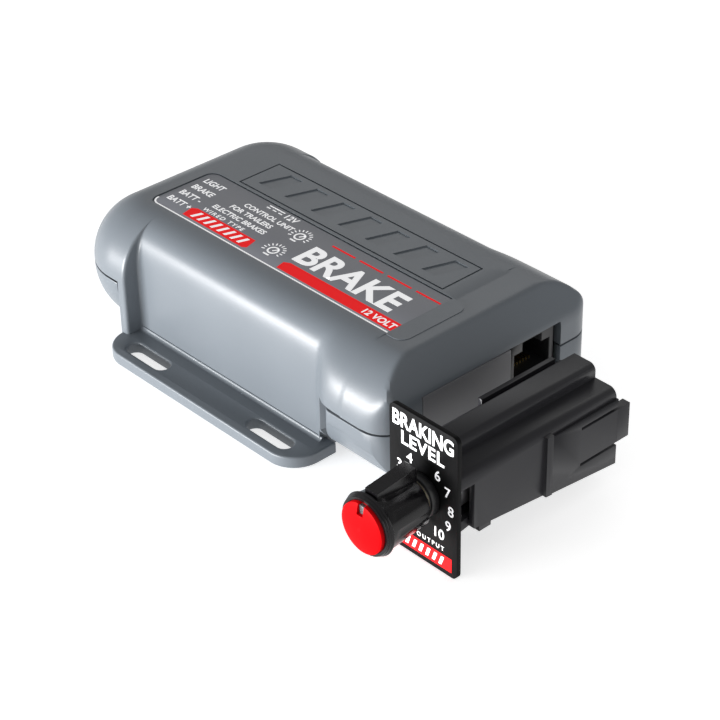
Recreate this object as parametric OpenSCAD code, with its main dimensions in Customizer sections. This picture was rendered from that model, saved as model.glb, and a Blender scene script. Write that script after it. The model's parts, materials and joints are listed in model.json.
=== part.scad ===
// Trailer brake controller: an under-dash main unit and a dash-mounted remote head.
// Row frame: +X runs along the main unit towards its data socket, +Z is up,
// and the remote head's knob faces -Y. The origin is under the middle of both pieces.

/* [Main unit] */
// Length of the main unit, end to end
unit_l = 119; // [100:1:145]
// Width over the rounded sides of the casing
unit_w = 70.5; // [64:0.5:90]
// Height of the casing
unit_h = 33.7; // [33:0.1:42]
// Wall thickness of both casings
wall = 2.2; // [1.6:0.1:2.8]
// Height of the line where the two casings meet
part_z = 17.7; // [16.5:0.1:19]
// Gap between the two casings at that line
part_gap = 0.5; // [0.2:0.1:0.8]
// Rounding of the upper edge, seen from the end
top_edge_r = 15.5; // [12:0.5:16]
// Rounding of the lower edge, seen from the end
low_edge_r = 17; // [12:0.5:17]
// Corner rounding at the power end, seen from above
tail_corner_r = 17.5; // [17:0.5:20]
// Corner rounding at the socket end, seen from above
nose_corner_r = 7.5; // [4:0.5:10]
// Length of the sloping face over the socket panel
nose_slope_x = 5.6; // [3:0.1:8]

/* [Waist and mounting flanges] */
// Width over the flat side walls of the waist
waist_w = 61.6; // [56:0.2:63]
// Rounding along the waist's shoulders
waist_r = 8; // [5:0.5:10]
// Where the waist starts, from the unit's middle towards the power end
waist_tail = 35.7; // [30:0.1:42]
// Where the waist ends, from the unit's middle towards the socket end
waist_nose = 32.7; // [28:0.1:36]
// Width over both mounting flanges
flange_w = 85.3; // [84:0.1:110]
// Thickness of the mounting flanges
flange_t = 3.2; // [2.5:0.1:5]
// Corner rounding of the mounting flanges
flange_r = 8; // [5:0.5:9]
// Slot spacing along the unit, centre to centre
slot_dx = 46.8; // [40:0.2:50]
// Slot spacing across the unit, centre to centre
slot_dy = 75.2; // [74.6:0.2:80]
// End-to-end length of a mounting slot
slot_l = 15.4; // [10:0.2:18]
// Width of a mounting slot
slot_w = 4.6; // [4:0.1:6]

/* [Sockets and panel] */
// Width of the panel opening at the socket end
panel_w = 45.9; // [42:0.1:48]
// Height of the bottom edge of the panel opening
panel_low = 10.6; // [9:0.1:11.4]
// Thickness of the blank panel
panel_t = 2.2; // [1.6:0.1:2.6]
// Outer width of a data socket
jack_w = 14.8; // [13.8:0.1:18]
// Outer height of a data socket
jack_h = 11.1; // [10.8:0.1:13]
// Depth of a data socket
jack_d = 15.6; // [14:0.1:19]
// Width of the power connector
power_w = 30; // [26:0.5:32]
// Height of the power connector
power_h = 10.4; // [9:0.1:11]

/* [Top label] */
// Length of the label
label_l = 92.4; // [80:0.1:96]
// Width of the label
label_w = 20.8; // [16:0.1:22]
// Thickness of the label
label_t = 0.3; // [0.2:0.05:0.4]
// Corner rounding of the label
label_r = 2.6; // [1:0.1:4]

/* [Electronics] */
// Thickness of the main circuit board
board_t = 1.6; // [1.2:0.1:2]
// Height of the main circuit board's underside
board_z = 11.6; // [11:0.1:11.6]
// Radius of the posts that the casing screws bite into
post_r = 3.6; // [3:0.1:4]
// Radius of a casing screw's shank
screw_r = 1.45; // [1.2:0.05:1.8]

/* [Remote head] */
// Distance from the main unit's socket end to the knob's axis, along the unit
head_gap = 20; // [12.5:0.1:50]
// Distance of the dial plate's face in front of the main unit's middle
head_dy = 42.1; // [36:0.1:60]
// How far the dial plate laps past the insert housing on each side
plate_lap = 1.25; // [0.8:0.05:3]
// Height of the dial plate
plate_h = 37.7; // [35:0.1:44]
// Thickness of the dial plate
plate_t = 1.2; // [1:0.1:1.6]
// Corner rounding of the dial plate
plate_r = 1.6; // [0.5:0.1:3]
// Height of the knob's axis
knob_z = 18.5; // [17.5:0.1:20]
// Depth of the insert housing behind the dial's face
insert_d = 52; // [48:0.5:60]
// How far the raised spine stands over the insert housing's shoulders
spine_rise = 3.5; // [2.5:0.1:5]
// Wall thickness of the insert housing
insert_wall = 1.5; // [1.2:0.1:1.8]

/* [Knob] */
// Length of the knob in front of the dial, cap included
knob_l = 19; // [15:0.1:24]
// Radius of the knob's front ring
knob_r = 7.7; // [6.8:0.1:9.5]
// Radius of the knob's back end
knob_back_r = 6.2; // [5.8:0.1:6.6]
// Width of the ring round the coloured cap
cap_rim = 1.45; // [1.2:0.05:2.5]
// Travel of the knob when it is pushed for a manual stop
push_travel = 1.2; // [0.8:0.1:1.4]
// Radius of the knob's shaft
shaft_r = 3; // [2.5:0.1:3.6]
// Radial clearance of a turning or sliding fit
run_gap = 0.05; // [0.02:0.01:0.08]

/* [Hidden] */
$fn = 96;
eps = 0.02;
seat = 0.3;                       // clearance between pieces that don't touch
half_l = unit_l / 2;
half_w = unit_w / 2;
head_dx = half_l + head_gap;
waist_h = waist_w / 2;
flange_h = flange_w / 2;
rim = 2.6;                        // casing rim on either side of the waist
step_run = 4;                     // slope of the step behind the socket end
flange_x0 = -waist_tail - 2.4;
flange_x1 = waist_nose + 3.4;
tray_half = waist_h - wall - seat;
tray_r = 4;                       // plan rounding of the tray's inner corner
tray_nose = waist_nose + rim + 2.4;
board_top = board_z + board_t;
board_hw = tray_half - wall - 0.4;
panel_top = board_top + jack_h + 0.2;
nose_slope_z = unit_h - panel_top;
blank_w = panel_w - jack_w - 2.1;
post_x = [-half_l + 19.5, half_l - 22];
post_y = board_hw - 8.7;
screw_head_r = 2.9;
screw_head_t = 2;
jack_y = panel_w / 2 - jack_w / 2 - 1.6;
jack_x = half_l - 0.9;
plug_w = 11.9;
plug_h = 6.8;
tab_w = 6.4;
tab_h = 2.4;
plug_lip = 1.2;
contact_pitch = 1.02;
power_d = 14;
power_x = -half_l + 0.8;
blade_pitch = 6.8;
label_x = 3.2;
label_y = -9.3;
badge_y0 = 6.1;
badge_y1 = 16.3;
badge_x0 = -34.5;
badge_x1 = 40;

axis_x = 0;                       // in the head's own frame the knob's axis is at x = 0
insert_w = jack_w + 2 * (insert_wall + seat);
half_insert = insert_w / 2;
plate_w = insert_w + 2 * plate_lap;
front_gap = 6.5;                  // side walls start this far behind the dial's face
low_front = 10.3;                 // underside of the insert at its front
low_back = 5.3;                   // underside of the insert at its back
head_board_t = 1.2;
head_board_z = 11.2;
head_board_top = head_board_z + head_board_t;
insert_top = head_board_top + jack_h + 2 * seat + insert_wall;
spine_top = insert_top + spine_rise;
spine_x0 = -4;
spine_x1 = 2.6;
finger_z0 = 11.3;
finger_z1 = 20.4;
finger_y0 = insert_d - 12.2;
finger_out = 4;                   // how far the snap finger reaches past the back
nut_t = 2.2;
bushing_r = shaft_r + 1.2;
pot_r = half_insert - insert_wall - 1.1;
pot_y0 = 1.2 + plate_t;
pot_y1 = pot_y0 + 8.6;
pot_wall = 0.9;
rotor_y0 = pot_y0 + 2.2;
rotor_t = 2;
shaft_end = rotor_y0 + rotor_t + 1;      // clears the return spring when pushed
knob_back = -nut_t - push_travel - seat;
knob_front = -knob_l + 1.6;       // plane of the front ring
cap_t = 2.4;
cap_r = knob_r - cap_rim;

// The box of the whole part, from which the origin is placed
box_x = (head_dx + plate_w / 2 - half_l) / 2;
box_y = (flange_h - head_dy - knob_l) / 2;

// Placing: the main unit and the head each have a frame of their own
module in_unit() { translate([-box_x, -box_y, 0]) children(); }
module in_head() { translate([head_dx - box_x, -head_dy - box_y, 0]) children(); }

// A (Y, Z) section swept along X
module along_x(x0, x1) {
    translate([x0, 0, 0]) rotate([90, 0, 90]) linear_extrude(x1 - x0) children();
}

// An (X, Z) section swept along Y
module along_y(y0, y1) {
    translate([0, y1, 0]) rotate([90, 0, 0]) linear_extrude(y1 - y0) children();
}

// Both signs of Y
module both_sides() {
    children();
    mirror([0, 1, 0]) children();
}

// A rectangle's outer corner turned into an arc: what is cut away at (x, y)
module corner_cut(x, y, r, flip = 1) {
    translate([x, y]) scale([1, flip]) difference() {
        square(r + 1);
        circle(r);
    }
}

// Section from an inner line out to a bullnosed edge
module edge_section(reach, h, rt, rb) {
    difference() {
        square([reach, h]);
        corner_cut(reach - rt, h - rt, rt);
        if (rb > 0) translate([reach - rb, rb]) mirror([0, 1]) difference() {
            square(rb + 1);
            circle(rb);
        }
    }
}

// Slab with one rounded end at x0 and a flat end at x1, and bullnosed edges
module slab(x0, x1, half, h, plan_r, rt, rb) {
    xc = x0 + plan_r;
    yc = half - plan_r;
    both_sides() {
        translate([0, yc, 0]) along_x(xc, x1) edge_section(plan_r, h, rt, rb);
        translate([xc, yc, 0]) rotate([0, 0, 90]) rotate_extrude(angle = 90)
            edge_section(plan_r, h, rt, rb);
    }
    translate([xc, 0, 0]) mirror([1, 0, 0]) along_y(-yc, yc) edge_section(plan_r, h, rt, rb);
    translate([xc, -yc, 0]) cube([x1 - xc, 2 * yc, h]);
}

// What the socket end loses: its plan corners and the slope over the panel
module nose_cuts(inset) {
    r = nose_corner_r - inset;
    xe = half_l - inset;
    ye = half_w - inset;
    both_sides() translate([xe - r, ye - r, -1]) linear_extrude(unit_h + 2) difference() {
        square(r + 6);
        circle(r);
    }
    zs = unit_h - inset - nose_slope_z;
    translate([0, half_w + 1, 0]) rotate([90, 0, 0]) linear_extrude(unit_w + 2)
        polygon([[xe, zs], [xe - nose_slope_x, unit_h - inset],
            [xe - nose_slope_x, unit_h + 2], [xe + 2, unit_h + 2], [xe + 2, zs]]);
}

// The casing's outer shape without the waist
module outer_slab() {
    difference() {
        slab(-half_l, half_l, half_w, unit_h, tail_corner_r, top_edge_r, low_edge_r);
        nose_cuts(0);
    }
}

// The hollow inside the casing, open below
module inner_slab() {
    difference() {
        translate([0, 0, -1]) slab(-half_l + wall, half_l - wall, half_w - wall,
            unit_h - wall + 1, tail_corner_r - wall, top_edge_r - wall, 0);
        nose_cuts(wall);
    }
}

// Section through the waist: flat sides and rounded shoulders
module waist_section(inset) {
    h = waist_h - inset;
    r = waist_r - inset;
    difference() {
        translate([-h, -inset]) square([2 * h, unit_h]);
        for (s = [-1, 1]) scale([s, 1]) corner_cut(h - r, unit_h - inset - r, r);
    }
}

module waist_span(x0, x1, z0, z1) {
    translate([x0, -half_w - 1, z0]) cube([x1 - x0, unit_w + 2, z1 - z0]);
}

// Plan shape of the sloping step, on one side
module step_plan() {
    translate([0, 0, -1]) linear_extrude(unit_h + 2)
        polygon([[waist_nose - eps, waist_h], [waist_nose, waist_h],
            [waist_nose + step_run, half_w + 1], [waist_nose - eps, half_w + 1]]);
}

module slot_shape() {
    run = slot_l / 2 - slot_w / 2;
    for (s = [-1, 1]) translate([s * run, 0, -1]) cylinder(h = flange_t + 2, r = slot_w / 2);
    translate([-run, -slot_w / 2, -1]) cube([2 * run, slot_w, flange_t + 2]);
}

module flange() {
    r = flange_r;
    difference() {
        union() {
            translate([flange_x0, waist_h - wall, 0])
                cube([flange_x1 - flange_x0, flange_h - r - waist_h + wall, flange_t]);
            translate([flange_x0 + r, flange_h - r - eps, 0])
                cube([flange_x1 - flange_x0 - 2 * r, r + eps, flange_t]);
            for (x = [flange_x0 + r, flange_x1 - r]) translate([x, flange_h - r, 0])
                cylinder(h = flange_t, r = r);
        }
        for (s = [-1, 1]) translate([slot_mid + s * slot_dx / 2, slot_dy / 2, 0]) slot_shape();
    }
}
slot_mid = (flange_x0 + flange_x1) / 2;

module posts(r, z0, z1) {
    for (x = post_x, y = [-post_y, post_y]) translate([x, y, z0]) cylinder(h = z1 - z0, r = r);
}

module panel_opening() {
    translate([half_l - wall - 2.4, -panel_w / 2, panel_low])
        cube([wall + 6, panel_w, panel_top - panel_low]);
}

module power_opening() {
    translate([-half_l - 2, -power_w / 2 - seat, board_top - seat])
        cube([wall + 12, power_w + 2 * seat, power_h + 2 * seat]);
}

// Slanted bars in a frame: the generic badge moulded into the lid
module badge() {
    line = 0.5;
    translate([0, 0, unit_h - 0.35]) linear_extrude(1) difference() {
        polygon([[badge_x0, badge_y0 - 2], [badge_x1, badge_y0 - 2], [badge_x1, badge_y1],
            [badge_x0, badge_y1]]);
        polygon([[badge_x0 + line, badge_y0 - 2 + line], [badge_x1 - line, badge_y0 - 2 + line],
            [badge_x1 - line, badge_y1 - line], [badge_x0 + line, badge_y1 - line]]);
    }
    bar_h = badge_y1 - badge_y0 - 1.6;
    for (i = [0 : 6]) translate([badge_x0 + 4 + i * 10, badge_y0 - 0.4, unit_h - 0.35])
        linear_extrude(1) polygon([[0, 0], [4.6, 0], [4.6 + bar_h * 0.35, bar_h],
            [bar_h * 0.35, bar_h]]);
}

module label_outline(grow) {
    hl = label_l / 2 + grow;
    hw = label_w / 2 + grow;
    r = label_r + grow;
    translate([label_x, label_y]) {
        square([2 * hl - 2 * r, 2 * hw], center = true);
        square([2 * hl, 2 * hw - 2 * r], center = true);
        for (x = [-1, 1], y = [-1, 1]) translate([x * (hl - r), y * (hw - r)]) circle(r);
    }
}

module upper_casing() {
    color([0.36, 0.38, 0.42]) in_unit() difference() {
        union() {
            difference() {
                outer_slab();
                waist_span(-waist_tail, waist_nose, -1, unit_h + 1);
                waist_span(-half_l - 1, -waist_tail - rim, -1, part_z + part_gap / 2);
                waist_span(waist_nose + rim, half_l + 1, -1, part_z + part_gap / 2);
                both_sides() step_plan();
            }
            along_x(-waist_tail - eps, waist_nose + eps) intersection() {
                waist_section(0);
                translate([-half_w, 0]) square([unit_w, unit_h]);
            }
            both_sides() flange();
            posts(post_r, board_top - 6, unit_h - wall);
        }
        difference() {
            union() {
                difference() {
                    inner_slab();
                    waist_span(-waist_tail - wall, waist_nose + step_run + wall, -2, unit_h);
                }
                along_x(-half_l + tail_corner_r, waist_nose + step_run + wall + 4)
                    translate([0, -1]) waist_section(wall);
            }
            posts(post_r, board_top - 6, unit_h);
        }
        posts(screw_r + run_gap, 0, unit_h - wall - 2);
        panel_opening();
        power_opening();
        translate([0, 0, unit_h - label_t - 0.1]) linear_extrude(2) label_outline(0.5);
        badge();
    }
}

// Where the tray is cut back so that the waist's side walls pass it
module tray_notch() {
    both_sides() translate([0, 0, -1]) linear_extrude(part_z + 2) difference() {
        translate([-waist_tail - rim - seat, tray_half])
            square([tray_nose + waist_tail + rim + seat + tray_r, half_w]);
        translate([tray_nose + tray_r, half_w - tray_r]) circle(tray_r);
        translate([tray_nose, tray_half - 1]) square([tray_r + 1, half_w - tray_half - tray_r + 1]);
    }
}

module lower_casing() {
    zt = part_z - part_gap / 2;
    color([0.38, 0.40, 0.44]) in_unit() difference() {
        union() {
            difference() {
                outer_slab();
                waist_span(-half_l - 1, half_l + 1, zt, unit_h + 1);
                tray_notch();
                difference() {
                    translate([0, 0, wall]) intersection() {
                        slab(-half_l + wall, half_l - wall, half_w - wall, unit_h,
                            tail_corner_r - wall, top_edge_r - wall, low_edge_r - wall);
                        translate([-half_l, -half_w, 0]) cube([unit_l, unit_w, unit_h]);
                    }
                    both_sides() translate([-waist_tail - rim - seat - wall, tray_half - wall, 0])
                        cube([tray_nose + waist_tail + rim + seat + 2 * wall, half_w, unit_h]);
                    nose_rim();
                }
            }
            posts(post_r, 0, board_top - 6 - seat);
            board_rests();
        }
        posts(screw_r + 0.25, -1, board_top);
        posts(screw_head_r + 0.3, -1, screw_head_t + 0.2);
        panel_opening();
        power_opening();
    }
}

// Keeps the tray's wall whole round the nose's plan corners
module nose_rim() {
    difference() {
        translate([half_l - nose_corner_r - 4, -half_w, 0]) cube([nose_corner_r + 5, unit_w, unit_h]);
        translate([0, 0, -1]) linear_extrude(unit_h + 2) {
            r = nose_corner_r - wall;
            for (s = [-1, 1]) translate([half_l - nose_corner_r, s * (half_w - nose_corner_r)])
                circle(r);
            translate([half_l - nose_corner_r - 5, -half_w + wall])
                square([5, unit_w - 2 * wall]);
            translate([half_l - nose_corner_r - 5, -half_w + nose_corner_r])
                square([5 + r, unit_w - 2 * nose_corner_r]);
        }
    }
}

module board_rests() {
    for (x = [-24, 22], y = [-1, 1]) translate([x, y * (board_hw - 4), wall - eps])
        cylinder(h = board_z - wall + eps, r = 2.4);
}

// Flat panel with a wider tongue that sits behind the casing walls
module front_panel() {
    fit = 0.15;
    tongue = 1.2;
    y0 = -panel_w / 2;
    color([0.34, 0.35, 0.38]) in_unit() {
        translate([half_l - panel_t, y0 + fit, panel_low + fit])
            cube([panel_t, blank_w - 2 * fit, panel_top - panel_low - 2 * fit]);
        translate([half_l - panel_t - tongue, y0 + fit, board_top + 0.1])
            cube([tongue + eps, blank_w - 2 * fit, panel_top - board_top - 0.1 - fit]);
    }
}

module top_label() {
    color([0.44, 0.45, 0.47]) in_unit()
        translate([0, 0, unit_h - label_t - 0.1]) linear_extrude(label_t) label_outline(0);
}

module circuit_board() {
    x0 = -half_l + tail_corner_r / 2;
    x1 = half_l - wall - panel_t - 0.4;
    color([0.07, 0.32, 0.16]) in_unit() difference() {
        translate([x0, -board_hw, board_z]) cube([x1 - x0, 2 * board_hw, board_t]);
        posts(post_r + seat, board_z - 1, board_top + 1);
    }
}

// An eight-way data socket, mouth towards +X at x = 0, standing on z = 0
module jack() {
    difference() {
        translate([-jack_d, -jack_w / 2, 0]) cube([jack_d, jack_w, jack_h]);
        translate([-jack_d + 2, -plug_w / 2, plug_lip]) cube([jack_d, plug_w, plug_h]);
        translate([-jack_d + 5, -tab_w / 2, plug_lip + plug_h - eps])
            cube([jack_d, tab_w, tab_h + eps]);
    }
}

module jack_contacts() {
    for (i = [0 : 7]) translate([-jack_d + 2.4, (i - 3.5) * contact_pitch - 0.2, plug_lip])
        cube([9, 0.4, 0.7]);
}

module data_socket() {
    color([0.06, 0.06, 0.07]) in_unit() translate([jack_x, jack_y, board_top]) jack();
}

module data_contacts() {
    color([0.83, 0.68, 0.35]) in_unit() translate([jack_x, jack_y, board_top]) jack_contacts();
}

module power_socket() {
    cell = blade_pitch - 1.4;
    color([0.07, 0.07, 0.08]) in_unit() difference() {
        translate([power_x, -power_w / 2, board_top]) cube([power_d, power_w, power_h]);
        for (i = [0 : 3])
            translate([power_x - 1, (i - 1.5) * blade_pitch - cell / 2, board_top + 1.6])
                cube([power_d - 2, cell, power_h - 3.2]);
    }
}

module power_blades() {
    color([0.75, 0.75, 0.78]) in_unit() for (i = [0 : 3])
        translate([power_x + 2, (i - 1.5) * blade_pitch - 0.4, board_top + power_h / 2 - 1.6])
            cube([power_d - 5, 0.8, 3.2]);
}

transistor_x = [-24, -10, 4, 18];
spreader_y = board_hw - 5.5;

module heat_spreader() {
    color([0.72, 0.73, 0.75]) in_unit()
        translate([transistor_x[0] - 7, spreader_y, board_top]) {
            cube([transistor_x[3] - transistor_x[0] + 14, 2.5, 15]);
            for (i = [0 : 6]) translate([2 + i * 8, 2.5 - eps, 0]) cube([1.6, 2, 15]);
        }
}

module power_transistors() {
    color([0.10, 0.10, 0.11]) in_unit() for (x = transistor_x)
        translate([x - 5, spreader_y - 4.5, board_top]) difference() {
            union() {
                translate([0, 0, 4]) cube([10, 4.5, 9]);
                for (k = [-1, 0, 1]) translate([4.6 + k * 2.54, 1.4, 0]) cube([0.8, 0.7, 4.1]);
            }
            translate([5, -1, 10]) rotate([-90, 0, 0]) cylinder(h = 3, r = 1.8);
        }
}

module capacitors() {
    color([0.12, 0.14, 0.20]) in_unit() for (y = [8.2, 20.7])
        translate([-27, y - board_hw, board_top]) difference() {
            cylinder(h = 15, r = 5);
            translate([0, 0, 1.6]) rotate_extrude() translate([5.2, 0]) circle(r = 0.6, $fn = 24);
        }
}

// Ferrite ring with square turns round it, on a base plate
module inductor() {
    ring_r = 6.5;
    ring_a = 4;
    turn = 0.8;
    color([0.55, 0.32, 0.16]) in_unit() translate([-8, -board_hw + 13.7, board_top]) {
        translate([0, 0, 1.4]) rotate_extrude() translate([ring_r - ring_a / 2, 0])
            square([ring_a, ring_a]);
        for (a = [0 : 30 : 359]) rotate([0, 0, a])
            translate([ring_r - ring_a / 2 - turn, -0.6, 1.4 - turn])
                cube([ring_a + 2 * turn, 1.2, ring_a + 2 * turn]);
        difference() {
            cylinder(h = 0.8, r = ring_r + ring_a / 2);
            translate([0, 0, -1]) cylinder(h = 4, r = ring_r - ring_a / 2);
        }
    }
}

module current_shunt() {
    color([0.72, 0.45, 0.25]) in_unit() translate([12, -board_hw + 8.3, board_top]) {
        for (x = [0, 11]) translate([x, 0, 0]) cube([1.2, 3, 4]);
        translate([0, 0, 4 - eps]) cube([12.2, 3, 1.2]);
    }
}

module controller_chip() {
    color([0.09, 0.09, 0.10]) in_unit() translate([14, -9, board_top]) {
        translate([0.8, 0.8, 0.2]) cube([10, 10, 1.4]);
        for (i = [0 : 8]) {
            translate([1.5 + i * 1.05, 0, 0]) cube([0.4, 11.6, 0.25]);
            translate([0, 1.5 + i * 1.05, 0]) cube([11.6, 0.4, 0.25]);
        }
    }
}

module motion_sensor() {
    color([0.15, 0.15, 0.16]) in_unit() translate([4, 4, board_top]) {
        translate([0, 0, 0.15]) cube([5, 5, 1.2]);
        for (i = [0 : 3]) translate([0.5 + i * 1.15, -0.4, 0]) cube([0.5, 5.8, 0.2]);
    }
}

// Pan-head screws driven up from below
module casing_screws() {
    tip = board_top + 8;
    color([0.70, 0.70, 0.72]) in_unit() for (x = post_x, y = [-post_y, post_y])
        translate([x, y, 0]) difference() {
            union() {
                translate([0, 0, 0.2]) cylinder(h = screw_head_t, r = screw_head_r);
                translate([0, 0, 0.2]) cylinder(h = tip, r = screw_r);
            }
            for (a = [0, 90]) rotate([0, 0, a]) translate([-1.6, -0.35, 0]) cube([3.2, 0.7, 1]);
        }
}

// Section through the insert housing, with its stepped top
module insert_section(inset) {
    h = half_insert - inset;
    r = 2.2 - inset * 0.6;
    difference() {
        translate([-h, 0]) square([2 * h, insert_top - inset]);
        for (s = [-1, 1]) scale([s, 1]) corner_cut(h - r, insert_top - inset - r, r);
    }
    difference() {
        translate([spine_x0 + inset, 10]) square([spine_x1 - spine_x0 - 2 * inset,
            spine_top - 10 - inset]);
        rs = 1.8 - inset * 0.8;
        corner_cut(spine_x1 - inset - rs, spine_top - inset - rs, rs);
    }
}

// The wedge under the insert's sloping floor, raised by a wall thickness
module below_insert(lift) {
    drop = (low_front - low_back) / (insert_d - front_gap);
    z_start = low_front + drop * front_gap + lift;
    translate([-20, 0, 0]) rotate([90, 0, 90]) linear_extrude(40)
        polygon([[-2, -5], [insert_d + 8, -5], [insert_d + 8, z_start - drop * (insert_d + 8)],
            [-2, z_start + 2 * drop]]);
}

module side_relief() {
    panel = 0.7;
    y0 = insert_d - 23.7;
    for (s = [-1, 1]) scale([s, 1, 1]) {
        difference() {
            translate([half_insert - eps, y0, 0]) cube([panel, insert_d - y0, insert_top - 2.4]);
            below_insert(0);
        }
        difference() {
            translate([half_insert - 1, y0, 0]) cube([1 + panel + 0.3, 2, insert_top - 1.6]);
            below_insert(0);
        }
        translate([half_insert - insert_wall, insert_d - eps, finger_z0])
            cube([insert_wall + panel, finger_out, finger_z1 - finger_z0]);
    }
}

module insert_housing() {
    y1 = insert_d - insert_wall;
    color([0.12, 0.12, 0.13]) in_head() difference() {
        union() {
            difference() {
                along_y(plate_t, insert_d) insert_section(0);
                below_insert(0);
                // side walls and floor start behind the dash panel
                translate([-20, -1, -1]) cube([40, front_gap + 1, insert_top - 2.2]);
            }
            difference() {
                side_relief();
                translate([-half_insert + insert_wall, 0, 0])
                    cube([insert_w - 2 * insert_wall, insert_d, insert_top]);
            }
            // far rail beside the spine
            translate([-half_insert, insert_d - 26, insert_top - 2.2])
                cube([1.2, 24, 3.2]);
            front_struts();
            // foot under the front edge
            translate([half_insert - 3, front_gap + 1.6, low_front - 1.6]) cube([3, 3.6, 2]);
        }
        difference() {
            along_y(-1, y1) insert_section(insert_wall);
            below_insert(insert_wall);
            front_struts();
            board_ledges();
        }
        // room for the potentiometer under the spine
        translate([axis_x, plate_t - 1, knob_z]) rotate([-90, 0, 0])
            cylinder(h = pot_y1 - plate_t + 1.4, r = pot_r + 0.2);
        // window for the data plug
        translate([-plug_w / 2 - 0.6, y1 - 1, head_board_top + plug_lip - 0.6])
            cube([plug_w + 1.2, insert_wall + 3, plug_h + tab_h + 1]);
        // slots that free the snap fingers
        for (s = [-1, 1], z = [finger_z0 - 0.8, finger_z1])
            translate([s * (half_insert + 1) - 4, finger_y0, z]) cube([8, 20, 0.8]);
    }
}

// Struts that carry the dial plate's lower half
module front_struts() {
    for (s = [-1, 1]) translate([s * 6.4 - 0.6, 0, 0]) rotate([90, 0, 90]) linear_extrude(1.2)
        polygon([[plate_t, 11.2], [plate_t, 8.6], [front_gap + 3, low_front - 0.2],
            [front_gap + 3, low_front + 2.4]]);
}

module board_ledges() {
    for (s = [-1, 1]) translate([s * (half_insert - insert_wall) - 1, 20, 0])
        cube([2, insert_d - 22, head_board_z]);
}

module dial_plate() {
    w = plate_w / 2 - plate_r;
    color([0.06, 0.06, 0.07]) in_head() difference() {
        along_y(0, plate_t) union() {
            translate([-w, 0]) square([2 * w, plate_h]);
            translate([-plate_w / 2, plate_r]) square([plate_w, plate_h - 2 * plate_r]);
            for (s = [-1, 1], z = [plate_r, plate_h - plate_r]) translate([s * w, z])
                circle(plate_r, $fn = 48);
        }
        translate([axis_x, -1, knob_z]) rotate([-90, 0, 0]) cylinder(h = 4, r = bushing_r + 0.1);
    }
}

// Everything round the knob's axis is turned in this frame: z runs towards +Y
module on_axis(y) { in_head() translate([axis_x, y, knob_z]) rotate([-90, 0, 0]) children(); }

module dress_nut() {
    color([0.08, 0.08, 0.09]) on_axis(-nut_t) difference() {
        cylinder(h = nut_t, r = bushing_r + 1);
        translate([0, 0, -1]) cylinder(h = nut_t + 2, r = bushing_r + 0.02);
    }
}

module pot_bushing() {
    color([0.62, 0.60, 0.55]) on_axis(-nut_t + 0.2) difference() {
        union() {
            cylinder(h = nut_t + pot_y0 - 0.2, r = bushing_r);
            translate([0, 0, nut_t - 0.2 + plate_t]) cylinder(h = pot_y0 - plate_t, r = pot_r - 0.6);
        }
        translate([0, 0, -1]) cylinder(h = 20, r = shaft_r + run_gap);
    }
}

module pot_body() {
    color([0.66, 0.66, 0.68]) on_axis(pot_y0) difference() {
        cylinder(h = pot_y1 - pot_y0, r = pot_r);
        translate([0, 0, pot_wall]) cylinder(h = 20, r = pot_r - pot_wall);
        translate([0, 0, -1]) cylinder(h = 4, r = shaft_r + 0.3);
    }
}

module pot_cover() {
    color([0.20, 0.16, 0.12]) on_axis(pot_y1 - 1) difference() {
        cylinder(h = 1, r = pot_r - pot_wall - 0.02);
        translate([0, 0, -1]) cylinder(h = 3, r = 1.7);
    }
}

module return_spring() {
    color([0.80, 0.80, 0.82]) on_axis(pot_y1 - 1.7) difference() {
        cylinder(h = 0.7, r = shaft_r - 0.1);
        translate([0, 0, -1]) cylinder(h = 3, r = 1.9);
    }
}

module wiper_rotor() {
    color([0.90, 0.88, 0.80]) on_axis(rotor_y0) difference() {
        cylinder(h = rotor_t, r = pot_r - pot_wall - 0.3);
        translate([0, 0, -1]) cylinder(h = 5, r = shaft_r + run_gap);
    }
}

// Tabs from the potentiometer's rim to the head board
module pot_terminals() {
    tab_z = min(head_board_top, knob_z - pot_r + 0.5);
    color([0.80, 0.78, 0.70]) in_head() for (i = [-1, 0, 1]) {
        translate([i * 3 - 0.5, pot_y1, tab_z]) cube([1, 0.6, head_board_top - tab_z + 3.4]);
        translate([i * 3 - 0.5, pot_y1, head_board_top]) cube([1, 4.2, 0.4]);
    }
}

module knob_shaft() {
    y0 = knob_front + 3.4;
    color([0.72, 0.72, 0.74]) on_axis(y0) difference() {
        cylinder(h = shaft_end - y0, r = shaft_r);
        translate([0, 0, -1]) cylinder(h = 40, r = 1.25);
    }
}

module light_pipe() {
    y0 = knob_front + 3.4;
    color([0.85, 0.90, 0.95, 0.6]) on_axis(y0)
        cylinder(h = shaft_end - y0, r = 1.2);
}

// Tapered and fluted grip with a stepped front ring and a pointer fin
module knob_body() {
    ring_t = 1.5;
    len = knob_back - knob_front;
    flutes = 10;
    color([0.05, 0.05, 0.06]) on_axis(knob_front) difference() {
        union() {
            translate([0, 0, ring_t]) cylinder(h = len - ring_t, r1 = knob_r - 0.5, r2 = knob_back_r);
            cylinder(h = ring_t, r1 = knob_r - 0.7, r2 = knob_r);
            translate([0, 0, ring_t - eps]) cylinder(h = 0.7, r1 = knob_r, r2 = knob_r - 0.5);
            pointer_fin(len);
        }
        for (i = [0 : flutes - 1]) rotate([0, 0, 90 + (i + 0.5) * 360 / flutes])
            translate([knob_r + 4.6, 0, ring_t + 2.4]) rotate([0, -4, 0]) cylinder(h = 30, r = 5.4);
        translate([0, 0, -1]) cylinder(h = 1 + cap_t - 0.6, r = cap_r + 0.1);
        translate([0, 0, -1]) cylinder(h = 40, r = shaft_r + 0.01);
        translate([0, 0, 4.2]) difference() {
            cylinder(h = 40, r = knob_back_r - 1.3);
            cylinder(h = 40, r = shaft_r + 1.4);
        }
    }
}

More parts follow.
